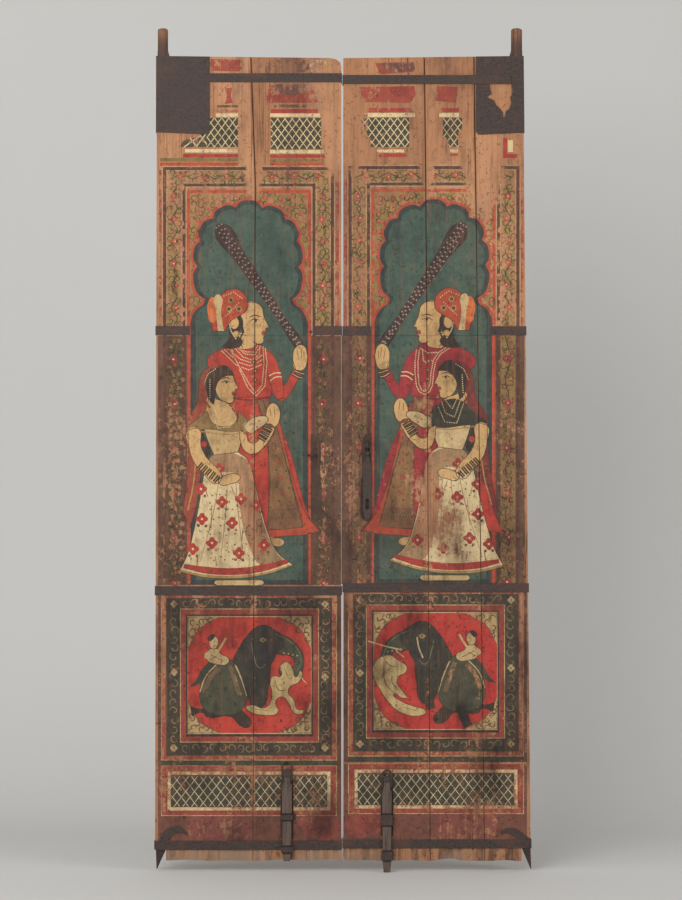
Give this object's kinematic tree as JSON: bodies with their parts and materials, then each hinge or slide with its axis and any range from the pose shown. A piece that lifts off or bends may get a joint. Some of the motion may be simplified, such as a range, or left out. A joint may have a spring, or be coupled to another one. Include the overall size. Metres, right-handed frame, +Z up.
{
  "type": "painted double-leaf plank door",
  "caption": "Pair of painted plank door leaves on heel pivots, bound by iron bands, with corner plates, drop bolts, staples and a swinging hasp.",
  "frame": {"origin": "point of the left leaf's bottom pivot spike, in the middle of the wood's thickness", "axes": "+Z up along the leaves, +X from the left leaf to the right leaf, -Y out of the painted face towards the viewer"},
  "size_m": [0.9059, 0.0642, 2.0257],
  "materials": {
    "painted_wood": "old plank wood with worn distemper painting",
    "tenon_wood": "bare wood",
    "sheet_iron": "dull pitted sheet iron",
    "band_iron": "dull hand-forged strap iron",
    "forged_iron": "dull hand-forged iron with light rust"
  },
  "bodies": {
    "left_leaf": {"left_heel_plank": "painted_wood", "left_meeting_plank": "painted_wood", "left_seam_tenons": "tenon_wood", "left_corner_plate": "sheet_iron", "left_plate_nails": "forged_iron", "left_top_band": "band_iron", "left_middle_band": "band_iron", "left_third_band": "band_iron", "left_bottom_band": "band_iron", "left_band_rivets": "forged_iron", "left_pivot_iron": "forged_iron", "left_upper_keeper": "forged_iron", "left_lower_keeper": "forged_iron", "left_keeper_nail": "forged_iron", "left_staple": "forged_iron"},
    "right_leaf": {"right_heel_plank": "painted_wood", "right_middle_plank": "painted_wood", "right_meeting_plank": "painted_wood", "right_seam_tenons": "tenon_wood", "right_corner_plate": "sheet_iron", "right_plate_nails": "forged_iron", "right_top_band": "band_iron", "right_middle_band": "band_iron", "right_third_band": "band_iron", "right_bottom_band": "band_iron", "right_band_rivets": "forged_iron", "right_pivot_iron": "forged_iron", "right_upper_keeper": "forged_iron", "right_lower_keeper": "forged_iron", "right_staple": "forged_iron"},
    "left_drop_bolt": {"left_bolt": "forged_iron", "left_bolt_loop": "forged_iron"},
    "right_drop_bolt": {"right_bolt": "forged_iron", "right_bolt_loop": "forged_iron"},
    "hasp_link": {"hasp_ring": "forged_iron"},
    "hasp_tongue": {"hasp": "forged_iron"}
  },
  "joints": [
    {"name": "right_leaf_swing", "type": "hinge", "parent": "left_leaf", "child": "right_leaf", "pos_m": [0.9003, 0, 0], "axis": [-0.0174, 0, 0.9998], "range_deg": [0, 100]},
    {"name": "left_bolt_slide", "type": "slide", "parent": "left_leaf", "child": "left_drop_bolt", "axis": [0, 0, 1], "range_m": [-0.03, 0.012]},
    {"name": "right_bolt_slide", "type": "slide", "parent": "right_leaf", "child": "right_drop_bolt", "axis": [0, 0, 1], "range_m": [-0.006, 0.026]},
    {"name": "hasp_swing", "type": "hinge", "parent": "right_leaf", "child": "hasp_link", "pos_m": [0.5064, -0.025, 1.0121], "axis": [0, 1, 0], "range_deg": [-80, 70]},
    {"name": "hasp_lift", "type": "hinge", "parent": "hasp_link", "child": "hasp_tongue", "pos_m": [0.5064, -0.025, 0.999], "axis": [-1, 0, 0], "range_deg": [0, 130]}
  ]
}
